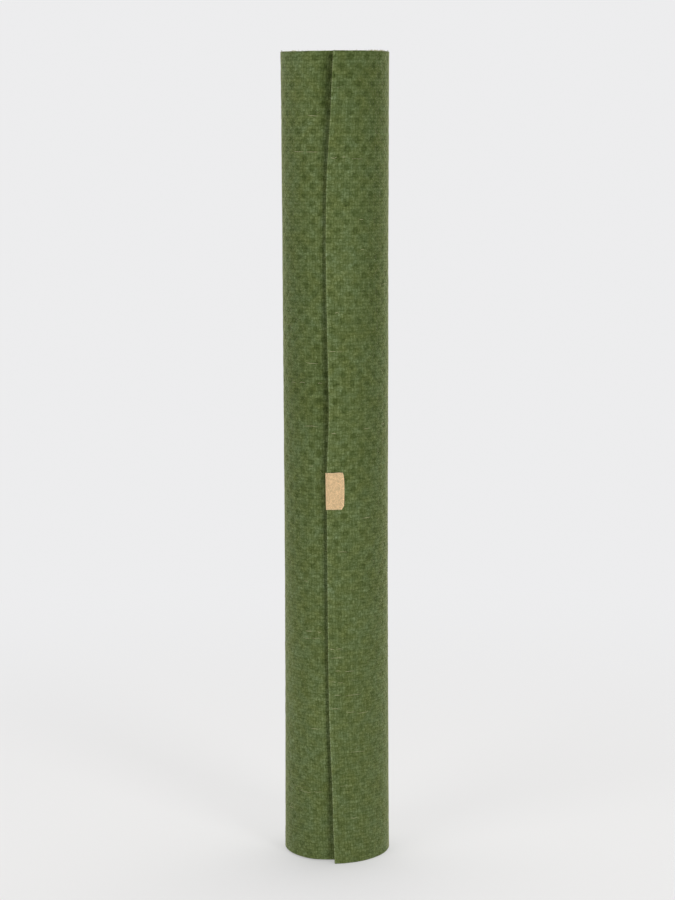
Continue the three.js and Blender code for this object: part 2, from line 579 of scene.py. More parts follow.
@dataclass
class Nodes:
    """A node tree, with short calls that add nodes and join them."""

    tree: bpy.types.NodeTree

    def node(self, kind: str, **settings: object) -> bpy.types.Node:
        """Adds a node.

        Args:
            kind: Blender's name for the kind of node.
            settings: properties of the node to set.

        Returns:
            The new node.
        """
        node = self.tree.nodes.new(kind)
        for name, value in settings.items():
            setattr(node, name, value)
        return node

    def feed(self, socket: Socket, value: Value | Colour) -> None:
        """Joins a socket to another, or sets it to a value.

        Args:
            socket: the input.
            value: an output, a number or a colour.
        """
        if isinstance(value, Socket):
            self.tree.links.new(value, socket)
        elif isinstance(value, tuple):
            socket.default_value = (*value, 1.0)[: len(socket.default_value)]
        else:
            socket.default_value = value

    def fed(self, node: bpy.types.Node, inputs: dict[str | int, Value | Colour]) -> Socket:
        """Feeds a node's inputs.

        Args:
            node: the node.
            inputs: what goes into each input, by its name or number.

        Returns:
            The node's first output.
        """
        for name, value in inputs.items():
            self.feed(node.inputs[name], value)
        return node.outputs[0]

    def math(self, operation: str, *values: Value) -> Socket:
        """One sum, by Blender's name for it, worked out at every point."""
        node = self.node("ShaderNodeMath", operation=operation)
        return self.fed(node, dict(enumerate(values)))

    def product(self, *values: Value) -> Value:
        """All the values multiplied together."""
        return functools.reduce(functools.partial(self.math, "MULTIPLY"), values)

    def linear(self, u: Value, v: Value, along: float, up: float, start: float) -> Socket:
        """along times u, plus up times v, less a start."""
        return self.math("MULTIPLY_ADD", u, along, self.math("MULTIPLY_ADD", v, up, -start))

    def step(self, value: Value, low: float, high: float) -> Socket:
        """A smooth step from 0, where the value is low, to 1, where it is high."""
        node = self.node("ShaderNodeMapRange", interpolation_type="SMOOTHSTEP")
        return self.fed(node, {0: value, 1: low, 2: high})

    def scaled(self, value: Value, low: float, high: float) -> Socket:
        """A value of 0 to 1 carried to low to high."""
        return self.math("MULTIPLY_ADD", value, high - low, low)

    def spread(self, value: Value, span: float) -> Socket:
        """A value of 0 to 1 carried to 1 less the span to 1 plus the span."""
        return self.scaled(value, 1.0 - span, 1.0 + span)

    def vector(self, x: Value, y: Value, z: Value = 0.0) -> Socket:
        """Three numbers as one vector."""
        return self.fed(self.node("ShaderNodeCombineXYZ"), {0: x, 1: y, 2: z})

    def split(self, vector: Value) -> tuple[Socket, ...]:
        """A vector's three numbers."""
        return tuple(self.fed(self.node("ShaderNodeSeparateXYZ"), {0: vector}).node.outputs)

    def noise(self, vector: Value, rate: float, detail: float = 2.0, rough: float = 0.5) -> Socket:
        """Soft noise of 0 to 1 with rate features a metre, and finer layers of given strength."""
        given = {"Vector": vector, "Scale": rate, "Detail": detail, "Roughness": rough}
        return self.fed(self.node("ShaderNodeTexNoise"), given)

    def uneven(self, vector: Value, *layers: Span) -> Value:
        """Soft noises multiplied together, each round 1 and given as its rate and its span."""
        noises = (self.spread(self.noise(vector, rate), span) for rate, span in layers)
        return self.product(*noises)

    def grain(self, x: Value, y: Value) -> Socket:
        """A random number of 0 to 1 for each whole-number place."""
        node = self.node("ShaderNodeTexWhiteNoise", noise_dimensions="2D")
        return self.fed(node, {"Vector": self.vector(x, y)})

    def mix(self, share: Value, low: Value | Colour, high: Value | Colour) -> Socket:
        """The first colour where the share is 0, to the second where it is 1."""
        node = self.node("ShaderNodeMix", data_type="RGBA")
        return self.fed(node, {0: share, 6: low, 7: high}).node.outputs[2]

    def blend(self, share: Value, first: Socket, second: Socket) -> None:
        """Sends the first shader to the output where the share is 0, and the second at 1."""
        mixed = self.fed(self.node("ShaderNodeMixShader"), {0: share, 1: first, 2: second})
        self.feed(self.tree.get_output_node("ALL").inputs["Surface"], mixed)

    def times(self, vector: Value, factors: Value | Colour) -> Socket:
        """A vector or a colour multiplied by another, number by number."""
        node = self.node("ShaderNodeVectorMath", operation="MULTIPLY")
        return self.fed(node, {0: vector, 1: factors})

    def shade(self, colour: Value, brightness: Value) -> Socket:
        """A colour made darker or lighter by a number."""
        node = self.node("ShaderNodeVectorMath", operation="SCALE")
        return self.fed(node, {0: colour, "Scale": brightness})

    def cloth(self) -> tuple[Socket, Socket, Socket]:
        """The place on the flat cloth, and its distances along and up the cloth."""
        place = self.node("ShaderNodeUVMap", uv_map="cloth").outputs[0]
        return place, *self.split(place)[:2]

    def mark(self, mark: Mark) -> Socket:
        """A point attribute."""
        return self.node("ShaderNodeAttribute", attribute_name=mark.value).outputs["Fac"]


@dataclass(frozen=True)
class Gloss:
    """How a surface shines: roughness, mirror, and its sheen's strength, roughness and tint."""

    roughness: float
    mirror: float
    sheen: float = 0.0
    sheen_roughness: float = 0.5
    tint: Colour = (1.0, 1.0, 1.0)


class Finish(Nodes):
    """A material in the making."""

    def __init__(self, name: str) -> None:
        """Starts a material with a shader and its output.

        Args:
            name: the material's name.
        """
        self.material = bpy.data.materials.new(name)
        self.material.use_nodes = True
        super().__init__(self.material.node_tree)
        self.shader = self.tree.nodes["Principled BSDF"]

    def bump(self, height: Value, distance: float) -> None:
        """Gives the shader a bump, of a height of 0 to 1 and a depth in metres."""
        bumped = self.fed(self.node("ShaderNodeBump"), {"Distance": distance, "Height": height})
        self.feed(self.shader.inputs["Normal"], bumped)

    def done(self, colour: Value | Colour, gloss: Gloss) -> Material:
        """Gives the shader its colour and its gloss.

        Args:
            colour: the surface's colour.
            gloss: how it shines.

        Returns:
            The finished material.
        """
        sheen = ("Sheen Weight", "Sheen Roughness", "Sheen Tint")
        names = ("Base Color", "Roughness", "Specular IOR Level", *sheen)
        self.fed(self.shader, dict(zip(names, (colour, *astuple(gloss)), strict=True)))
        return self.material


@dataclass(frozen=True)
class PlainWeave:
    """A plain weave of round yarns, each going over one and under the next.

    A yarn's roundness is the size of a sine across it. The yarn that runs up is on top where
    the two sines have one sign, and the yarn that runs along where they have two. The tone
    is the brightness low in the weave and on top of a yarn: painted shade between the yarns
    and painted light on their tops. Each crossing has its own tone too.
    """

    along_yarn: float
    up_yarn: float
    wander: float
    tone: Span
    wander_rate: float = 240.0
    passing: float = 0.25
    crossing_span: float = 0.16

    def nodes(self, graph: Nodes, u: Value, v: Value) -> tuple[Socket, Socket]:
        """The weave as nodes.

        Args:
            graph: the material in the making.
            u: distance along the cloth.
            v: distance up the cloth.

        Returns:
            The weave's height and its brightness.
        """
        counts, waves = [], []
        for here, there, yarn in ((u, v, self.up_yarn), (v, u, self.along_yarn)):
            drift = graph.noise(graph.vector(here, there), self.wander_rate, detail=1.0)
            moved = graph.math("MULTIPLY_ADD", drift, self.wander, here)
            counts.append(graph.math("DIVIDE", moved, yarn))
            waves.append(graph.math("SINE", graph.math("MULTIPLY", counts[-1], math.pi)))
        over = graph.step(graph.math("MULTIPLY", *waves), -self.passing, self.passing)
        up_height, along_height = (graph.math("ABSOLUTE", wave) for wave in waves)
        rest = graph.math("SUBTRACT", up_height, along_height)
        height = graph.math("MULTIPLY_ADD", over, rest, along_height)
        crossing = graph.grain(*(graph.math("FLOOR", count) for count in counts))
        own_tone = graph.spread(crossing, self.crossing_span)
        # The brightness follows the height: painted shade low between the yarns, painted light on
        # their tops.
        return height, graph.product(own_tone, graph.scaled(height, *self.tone))


@dataclass(frozen=True)
class JuteFinish:
    """Green jute cloth: a coarse uneven weave, pressed dots, blotches and frayed cut edges.

    A rate is in features a metre. A span is how far that noise darkens and lightens the dye.
    The mottle, the blotches and the clouds are each a rate and a span. A pair of numbers
    that is a step is where that step starts and ends.
    """

    warm: Colour = (0.119, 0.151, 0.043)
    cool: Colour = (0.104, 0.145, 0.052)
    hollow: Colour = (0.056, 0.082, 0.016)
    cut: Colour = (0.085, 0.092, 0.028)
    fibre_end: Colour = (0.22, 0.19, 0.085)
    redness: float = 1.10
    blueness: float = 1.56
    weave: PlainWeave = PlainWeave(2.63 * MM, 2.1 * MM, wander=2.0 * MM, tone=(0.76, 1.14))
    fibre_rate: float = 1100.0
    fibre_span: float = 0.42
    fibre_stretch: float = 0.38
    mottle: Span = (450.0, 0.43)
    blotches: Span = (115.0, 0.13)
    clouds: Span = (30.0, 0.12)
    cool_blotch_step: Span = (0.25, 0.75)
    cool_cloud_step: Span = (0.3, 0.7)
    cool_cloud_weight: float = 0.3
    fibre_end_step: Span = (0.46, 0.66)
    cut_strength: float = 0.85
    dots: DotPattern = DotPattern()
    dot_strength: float = 0.80
    dot_step: Span = (0.14, 0.38)
    ring_step: Span = (0.02, 0.16)
    ring_middle: float = 0.65
    ragged_rate: float = 420.0
    ragged_rough: float = 0.7
    raggedness: float = 0.4
    faint_rate: float = 26.0
    faint_step: Span = (0.36, 0.62)
    faintest: float = 0.5
    foot_step: Span = (160 * MM, 320 * MM)
    foot_strength: float = 0.6
    relief: float = 0.30 * MM
    along_relief: float = 0.5
    up_relief: float = 0.4
    dot_relief: float = -0.8
    gloss: Gloss = Gloss(0.92, 0.2, sheen=0.60, sheen_roughness=0.24, tint=(0.96, 0.95, 0.55))

    def material(self) -> Material:
        """The finish as nodes that follow the flat cloth.

        Returns:
            The material.
        """
        graph = Finish("green_jute")
        cloth, u, v = graph.cloth()
        height, woven = self.weave.nodes(graph, u, v)
        along = graph.noise(graph.times(cloth, (self.fibre_stretch, 1.0, 1.0)), self.fibre_rate)
        up = graph.noise(graph.times(cloth, (1.0, self.fibre_stretch, 1.0)), self.fibre_rate)
        dot = self.dot_share(graph, cloth, u, v)
        # The tone mark brings the dye's changes and the painted light and shade.
        brightness = graph.product(
            graph.mark(Mark.TONE),
            woven,
            graph.spread(along, self.fibre_span),
            graph.spread(up, self.fibre_span),
            graph.uneven(cloth, self.mottle, self.blotches, self.clouds),
        )
        dye = graph.mix(self.coolness(graph, cloth), self.warm, self.cool)
        colour = self.dyed(graph, graph.mix(dot, dye, self.hollow), brightness)
        ends = graph.step(graph.noise(cloth, self.fibre_rate), *self.fibre_end_step)
        frayed = self.dyed(graph, graph.mix(ends, self.cut, self.fibre_end), brightness)
        share = graph.math("MULTIPLY", graph.mark(Mark.CUT), self.cut_strength)
        raised = graph.math("MULTIPLY_ADD", up, self.up_relief, height)
        raised = graph.math("MULTIPLY_ADD", along, self.along_relief, raised)
        graph.bump(graph.math("MULTIPLY_ADD", dot, self.dot_relief, raised), self.relief)
        return graph.done(graph.mix(share, colour, frayed), self.gloss)

    def dyed(self, graph: Nodes, dye: Value, brightness: Value) -> Socket:
        """The dye made darker or lighter, with less blue where it is dark.

        Green follows the brightness, and red and blue follow it raised to a power each.

        Args:
            graph: the material in the making.
            dye: the dye's colour.
            brightness: 1 for the dye as it is.

        Returns:
            The colour.
        """
        powers = [
            graph.math("POWER", brightness, power) for power in (self.redness, 1.0, self.blueness)
        ]
        return graph.times(dye, graph.vector(*powers))

    def coolness(self, graph: Nodes, cloth: Value) -> Value:
        """How blue the green is: soft noise as wide as the clouds and as the blotches.

        Args:
            graph: the material in the making.
            cloth: the place on the flat cloth.

        Returns:
            0 for the warm green to 1 for the cool one.
        """
        wide = graph.step(graph.noise(cloth, self.clouds[0], detail=1.0), *self.cool_cloud_step)
        small = graph.step(graph.noise(cloth, self.blotches[0], detail=1.0), *self.cool_blotch_step)
        rest = graph.math("MULTIPLY", small, 1.0 - self.cool_cloud_weight)
        return graph.math("MULTIPLY_ADD", wide, self.cool_cloud_weight, rest)

    def dot_share(self, graph: Nodes, cloth: Value, u: Value, v: Value) -> Value:
        """How much of a pressed dot each place is.

        The distance to the nearest dot is worked out as for the mesh's hollows, with noise
        added to both counts for a ragged brim. The middle is a little lighter than the ring
        round it. Broad noise makes some dots faint, and those near the foot are fainter too.

        Args:
            graph: the material in the making.
            cloth: the place on the flat cloth.
            u: distance along the cloth.
            v: distance up the cloth.

        Returns:
            The share, from 0 to 1.
        """
        ragged = graph.noise(cloth, self.ragged_rate, rough=self.ragged_rough)
        squares = []
        for along, up, start in (self.dots.rising, self.dots.falling):
            count = graph.linear(u, v, along, up, start + self.raggedness / 2)
            count = graph.math("MULTIPLY_ADD", ragged, self.raggedness, count)
            near = graph.math("PINGPONG", count, 0.5)
            squares.append(graph.math("MULTIPLY", near, near))
        away = graph.math("SQRT", graph.math("ADD", *squares))
        inside = graph.math("SUBTRACT", 1.0, graph.step(away, *self.dot_step))
        ring = graph.scaled(graph.step(away, *self.ring_step), self.ring_middle, 1.0)
        faint = graph.step(graph.noise(cloth, self.faint_rate), *self.faint_step)
        strong = graph.scaled(faint, self.faintest, 1.0)
        higher = graph.scaled(graph.step(v, *self.foot_step), self.foot_strength, 1.0)
        return graph.product(inside, ring, strong, higher, self.dot_strength)


@dataclass(frozen=True)
class TapeFinish:
    """Beige woven cotton tape. The mottle and the blotches are each a rate and a span."""

    beige: Colour = (0.715, 0.50, 0.275)
    light: Colour = (0.84, 0.64, 0.41)
    weave: PlainWeave = PlainWeave(0.62 * MM, 0.55 * MM, 0.3 * MM, (0.80, 1.12), wander_rate=500.0)
    mottle: Span = (520.0, 0.26)
    blotches: Span = (140.0, 0.12)
    relief: float = 0.12 * MM
    gloss: Gloss = Gloss(0.85, 0.25, sheen=0.1, sheen_roughness=0.4)

    def material(self) -> Material:
        """The finish as nodes that follow the flat tape.

        Returns:
            The material.
        """
        graph = Finish("beige_tape")
        cloth, u, v = graph.cloth()
        height, woven = self.weave.nodes(graph, u, v)
        mottled = graph.uneven(cloth, self.mottle, self.blotches)
        # The tone brings the painted highlight at the fold and the pale front end.
        brightness = graph.product(graph.mark(Mark.TONE), woven, mottled)
        colour = graph.shade(graph.mix(graph.mark(Mark.CUT), self.beige, self.light), brightness)
        graph.bump(height, self.relief)
        return graph.done(colour, self.gloss)


@dataclass(frozen=True)
class StrandFinish:
    """Plain fibre, from one shade to another by strand, roughened by fine noise."""

    name: str
    dark: Colour
    light: Colour
    rate: float = 2600.0
    span: float = 0.2
    relief: float = 0.03 * MM
    gloss: Gloss = Gloss(0.8, 0.3)

    def material(self) -> Material:
        """The finish as nodes that read each strand's shade.

        Returns:
            The material.
        """
        graph = Finish(self.name)
        place = graph.node("ShaderNodeTexCoord").outputs["Object"]
        fine = graph.noise(place, self.rate)
        colour = graph.mix(graph.mark(Mark.HAIR), self.dark, self.light)
        graph.bump(fine, self.relief)
        return graph.done(graph.shade(colour, graph.spread(fine, self.span)), self.gloss)


@dataclass(frozen=True)
class CutEnd:
    """How high one of the sheet's two long cut edges stands, from the free edge to the core.

    A row of the table is a sine wave round the roll: its size in millimetres, its rate, its
    phase, and the two angles over which a smooth step brings it in. A plain rise is a wave
    of rate 0 at its crest.
    """

    base: float
    table: Table

    def height(self, back: Array) -> Array:
        """The edge's height: its base plus every wave.

        Args:
            back: angles from the free edge.

        Returns:
            Heights above the floor.
        """
        turned = np.radians(back)
        return self.base + sum(
            size * MM * np.sin(rate * turned + phase) * smoothstep(start, end, back)
            for size, rate, phase, start, end in self.table
        )


@dataclass(frozen=True)
class RolledMat:
    """The mat: one sheet of cloth of even thickness, wound up, with rounded cut edges.

    The face that shows is a fine grid, with the pressed dots as real hollows. The rest, which
    is hidden between the turns, is coarse. Steps are in degrees. Not all turns reach the
    floor, and the roll's top is a little uneven, as wound cloth telescopes.
    """

    winding: Winding
    dots: DotPattern = DotPattern()
    tone: ToneAndPaintedLight = ToneAndPaintedLight()
    column: float = 2.3
    fine_turns: float = 375.0
    hidden_step: float = 6.5
    rows: int = 424
    hidden_rows: int = 6
    under_rows: int = 12
    under_columns: int = 7
    rim_steps: int = 6
    rim_reach: float = 0.5 * MM
    rim_tone: float = 0.72
    nose_reach: float = 0.4 * MM
    nose_turns: tuple[float, ...] = (80.0, 58.0, 36.0, 18.0)
    nose_cut: float = 0.6
    uneven: Unevenness = Unevenness(0.10 * MM, (17, 23, 29, 37, 46, 58, 71, 90), 3)
    calm_rim: float = 3.0 * MM
    fray: Unevenness = Unevenness(1.0, (2.9, 4.7, 7.1, 12.0), 9)
    fray_share: float = 0.35
    foot_end: CutEnd = CutEnd(0.0, ((0.9, 0, CREST, 100, 350), (0.35, 0.83, 0.4, 300, 500)))
    top_end: CutEnd = CutEnd(
        609.85 * MM,
        ((-0.5, 0, CREST, 360, 700), (0.5, 0.47, 1.1, 360, 700), (0.12, 3.1, 0.3, -20, -10)),
    )

    def build(self) -> Piece:
        """Returns:
            The rolled mat.
        """
        nose = np.radians(self.nose_turns)
        fine = np.arange(0.0, self.fine_turns + self.column / 2, self.column)
        end = self.winding.turns() * FULL_TURN
        coarse = np.linspace(fine[-1], end, int((end - fine[-1]) / self.hidden_step) + 1)[1:]
        round_nose = -self.winding.angle_of(self.nose_reach * np.sin(nose))
        back = np.concatenate((round_nose, fine, coarse))
        half = np.concatenate((np.cos(nose), np.ones(fine.size + coarse.size)))
        every = np.stack((back, half))
        shown = nose.size + fine.size
        near = nose.size + self.under_columns + 1
        up, few, under = (
            np.linspace(0.0, 1.0, count + 1)
            for count in (self.rows, self.hidden_rows, self.under_rows)
        )

        shell = Shell()
        face = self.face(shell, every[:, :shown], up, 1.0)
        inner_turns = self.face(shell, every[:, shown:], few, 1.0)
        back_near = self.face(shell, every[:, :near], up[::-1], -1.0)
        back_far = self.face(shell, every[:, near:], under[::-1], -1.0)
        top = self.rim(shell, every, 1.0)
        foot = self.rim(shell, every, -1.0)

        shell.bridge(face[-1], inner_turns[0], outwards=False)
        shell.bridge(back_near[-1][::-1], back_far[0][::-1], outwards=True)
        free = np.concatenate((top[0], back_near[0], foot[0]))[::-1]
        shell.bridge(face[0], free, outwards=True)
        inner = np.concatenate((top[-1], back_far[-1], foot[-1]))[::-1]
        shell.bridge(inner_turns[-1], inner, outwards=False)

        mat = shell.mesh("rolled_mat")
        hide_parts("mat_roll")
        return mat

    def face(self, shell: Shell, columns: Array, share: Array, side: float) -> Array:
        """One face of the sheet.

        A point's height goes from the lower edge to the upper one by its share of the width,
        short of both by the rims' reach. It stands off the middle by half the thickness,
        less the hollow of a dot on the outer face, plus a gentle unevenness.

        Args:
            shell: the mesh in the making.
            columns: the angle from the free edge of each upright line of points, and its
                share of the half thickness, which is less than 1 on the rounded nose.
            share: the rows' shares of the width.
            side: 1 for the outer face, and -1 for the inner one.

        Returns:
            The index of each point, columns by rows.
        """
        back, half = columns[..., None]
        low = self.foot_end.height(back) + self.rim_reach
        high = self.top_end.height(back) - self.rim_reach
        height = low + (high - low) * share[None, :]
        u = self.winding.along(back) + np.zeros_like(height)
        v = self.winding.mat_width * share[None, :] + np.zeros_like(height)
        offset = side * self.winding.thickness / 2 * half
        if side > 0:
            rim = np.minimum(v, self.winding.mat_width - v)
            relief = self.uneven.at(u, v) - self.dots.hollow(u, v)
            offset = offset + relief * smoothstep(0.0, self.calm_rim, rim) * half
        places = self.winding.place(back, height, offset)
        cut = self.nose_cut * (1.0 - half**2)
        return shell.patch(places, np.stack((u, v), axis=-1), cut, self.tone.at(u, v, back))

    def rim(self, shell: Shell, columns: Array, side: float) -> Array:
        """The rounded upper or lower cut edge.

        Half an ellipse goes from one face to the other, with half the thickness as one axis
        and the rim's reach, made uneven by short waves, as the other.

        Args:
            shell: the mesh in the making.
            columns: the angles and the shares of the lines that end at the edge.
            side: 1 for the upper edge, and -1 for the lower one.

        Returns:
            The index of each point, columns by steps round the rim.
        """
        back, half = columns[..., None]
        turned = np.linspace(0.0, math.pi, self.rim_steps + 1)[None, :]
        upper = side > 0
        edge = (self.top_end if upper else self.foot_end).height(back)
        along = self.winding.along(back)
        rough = 1.0 - self.fray_share * (1.0 + self.fray.at(along, 0.0 * back)) / 2
        reach = side * self.rim_reach * rough * np.sin(turned)
        offset = side * np.cos(turned) * self.winding.thickness / 2 * half
        places = self.winding.place(back, edge - side * self.rim_reach + reach, offset)
        up = self.winding.mat_width * upper + reach
        cut = np.maximum(np.sqrt(np.sin(turned)), 1.0 - half**2)
        flats = np.stack((along + 0.0 * reach, up), axis=-1)
        return shell.patch(places, flats, cut, self.rim_tone)


@dataclass(frozen=True)
class FoldedLabel:
    """A short length of woven tape, folded over the mat's free edge, with the corners of its
    front end cut off, and sewn down near that end. It is bare.

    The rows of a table give the height above the label's foot, how far the front leaf runs
    from the free edge, and how far the fold stands clear of it, in millimetres. The front
    leaf ripples by a squared sine up the tape, more towards its end.
    """

    winding: Winding
    foot: float = 274.0 * MM
    thickness: float = 0.5 * MM
    clearance: float = 0.12 * MM
    behind: float = 9.0 * MM
    nose_reach: float = 0.4 * MM
    columns: int = 54
    table: Table = (
        (0, 10.4, 0.4), (0.8, 11.1, 0.4), (2.6, 12.1, 0.42),
        (10, 12.5, 0.5), (19.5, 12.4, 0.64), (23, 12.15, 0.7),
        (25.7, 11.7, 0.75), (27.1, 11.1, 0.8),
    )
    ripple: float = 0.25 * MM
    ripples_over: Span = (7 * MM, 12 * MM)
    ripple_turn: float = 7.0
    ripple_phase: float = 0.6
    top_slant: float = 0.5 * MM
    ragged: Unevenness = Unevenness(0.10 * MM, (1.3, 2.1, 3.7), 21)
    ragged_power: int = 6
    row_step: float = 0.5 * MM
    rim_steps: int = 4
    rim_cut: float = 0.8
    # Pale bands: at the fold a painted highlight, at the front end the pale cut end.
    pale_band: float = 0.9 * MM
    paleness: float = 0.18
    stitch_inset: float = 1.5 * MM
    stitch_stray: float = 0.12 * MM
    stitch_count: int = 9
    stitch_steps: int = 9
    stitch_sides: int = 7
    stitch_length: float = 2.0 * MM
    stitch_gap: float = 0.75 * MM
    stitch_radius: float = 0.12 * MM
    stitch_rise: float = 2.4
    stitch_flatness: float = 0.6
    stitch_sunk: float = 1.5
    stitch_seed: int = 5

    def height_of(self) -> float:
        """The tape's width, which stands upright here."""
        return self.table[-1][0] * MM

    def front_length(self) -> float:
        """The longest run of the front leaf."""
        return max(reach for _, reach, _ in self.table) * MM

    def middle(self, share: Array, rise: Array) -> tuple[Array, Array, Array, Array]:
        """The tape's middle surface.

        share goes from 0 at the front leaf's end to 1 at the back leaf's. The front leaf
        comes back to the mat's free edge, half an ellipse goes round it, and the back leaf
        runs in behind.

        Args:
            share: shares of the tape's length.
            rise: heights above the tape's foot.

        Returns:
            The angle from the free edge, the offset from the mat's middle surface, the
            distance along the flat tape from its fold, and the distance from its front end.
        """
        heights, reaches, slacks = np.array(self.table).T * MM
        reach = np.interp(rise, heights, reaches)
        nose = self.nose_reach + np.interp(rise, heights, slacks)
        stand = self.winding.thickness / 2 + self.clearance + self.thickness / 2
        bend = math.pi * (stand + nose) / 2
        gone = share * (reach + bend + self.behind)
        front = np.clip(reach - gone, 0.0, None)
        rear = np.clip(gone - reach - bend, 0.0, None)
        turned = np.clip((gone - reach) / bend, 0.0, 1.0) * math.pi
        wave = np.sin(rise / self.height_of() * self.ripple_turn + self.ripple_phase) ** 2
        lift = self.ripple * smoothstep(*self.ripples_over, front) * wave
        back = self.winding.angle_of(front + rear - nose * np.sin(turned))
        return back, stand * np.cos(turned) + lift, reach + bend / 2 - gone, gone

    def build(self) -> Piece:
        """Makes the tape as a closed thin sheet.

        Both faces stand off the middle surface by half the thickness along its own normal,
        and half circles join them all round.

        Returns:
            The label.
        """
        rows = int(self.height_of() / self.row_step)
        rise = np.linspace(0.0, self.height_of(), rows + 1)[None, :]
        share = np.linspace(0.0, 1.0, self.columns + 1)[:, None]
        back, offset, flat, gone = self.middle(share, rise)
        up_share = rise / self.height_of()
        slant = self.top_slant * np.clip(flat / self.front_length(), 0.0, 1.0) * up_share
        ragged = self.ragged.at(flat, 0.0 * flat) * (2 * up_share - 1.0) ** self.ragged_power
        height = self.foot + rise + slant + ragged
        middle = self.winding.place(back, height, offset)
        up = unit(np.gradient(middle, axis=1))
        forth = unit(np.gradient(middle, axis=0))
        normal = unit(np.cross(up, forth))
        half = self.thickness / 2
        upright = np.stack((flat, height), axis=-1)
        # A painted highlight along the fold, and the pale cut end at the front.
        tone = 1.0 + self.paleness * (bell(gone / self.pale_band) + bell(flat / self.pale_band))
        shell = Shell()
        shell.patch((middle + half * normal)[::-1], upright[::-1], 0.0, tone[::-1])
        shell.patch(middle - half * normal, upright, 0.0, tone)
        for row, side in ((0, -1.0), (-1, 1.0)):
            line = (middle[:, row], normal[:, row], side * up[:, row], upright[:, row])
            self.hem(shell, line, side > 0)
        for column, side in ((0, -1.0), (-1, 1.0)):
            line = (middle[column], normal[column], side * forth[column], upright[column])
            self.hem(shell, line, side < 0)
        label = shell.mesh("folded_label")
        close_corners(label)
        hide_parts("label")
        return label

    def hem(self, shell: Shell, line: tuple[Array, Array, Array, Array], ahead: bool) -> None:
        """One side of the tape: half a circle carried along its edge.

        Args:
            shell: the mesh in the making.
            line: the edge's points, the tape's normals there, the directions away from the
                tape, and the places on the flat tape.
            ahead: whether the edge's points run the way that its faces need.
        """
        points, normal, outward, flat = line
        turned = np.linspace(0.0, math.pi, self.rim_steps + 1)[None, :, None]
        across = np.cos(turned) * normal[:, None] + np.sin(turned) * outward[:, None]
        ring = points[:, None] + self.thickness / 2 * across
        flats = np.repeat(flat[:, None], turned.size, axis=1)
        order = slice(None) if ahead else slice(None, None, -1)
        shell.patch(ring[order], flats[order], self.rim_cut * np.sin(turned[:, :, 0]), 1.0)

    def stitches(self) -> Piece:
        """The row of small stitches that holds the front leaf.

        Each stitch rises out of the tape, runs upwards and goes in again: its height above
        the tape is a flattened half sine of its own length.

        Returns:
            The stitches as one piece.
        """
        step = self.stitch_length + self.stitch_gap
        first = (self.height_of() - step * self.stitch_count + self.stitch_gap) / 2
        start = first + step * np.arange(self.stitch_count)[:, None]
        share = np.linspace(0.0, 1.0, self.stitch_steps)[None, :]
        surface = self.winding.thickness / 2 + self.clearance + self.thickness
        rise = self.stitch_rise * np.sin(math.pi * share) ** self.stitch_flatness
        run = self.front_length() - self.stitch_inset + self.stitch_stray * np.sin(start / MM)
        back = self.winding.angle_of(run) + 0.0 * share
        draw = np.random.default_rng(self.stitch_seed)
        sewn = Strands(
            back,
            self.foot + start + self.stitch_length * share,
            surface + self.stitch_radius * (rise - self.stitch_sunk),
            np.full(back.shape, self.stitch_radius),
            draw.uniform(0.0, 1.0, self.stitch_count),
        )
        return sewn.build("label_stitches", self.winding, self.stitch_sides)


def close_corners(piece: Piece) -> None:
    """Fills the four small holes where the half circles of two sides meet at a corner.

    Args:
        piece: the tape.
    """
    mesh = bmesh.new()
    mesh.from_mesh(piece.data)
    open_edges = [edge for edge in mesh.edges if edge.is_boundary]
    bmesh.ops.holes_fill(mesh, edges=open_edges, sides=0)
    bmesh.ops.recalc_face_normals(mesh, faces=mesh.faces)
    mesh.to_mesh(piece.data)
    mesh.free()
    piece.data.polygons.foreach_set("use_smooth", np.ones(len(piece.data.polygons), bool))
    piece.data.update()


@dataclass(frozen=True)
class Hairs:
    """A growth of fine hairs: how many, and what is drawn for each.

    The length is in millimetres. A hair leans by a normal draw of so many radians, and its
    shade is from 0 for the dark one to 1.
    """

    count: int
    length: Span
    lean: float
    tone: Span = (0.0, 0.8)


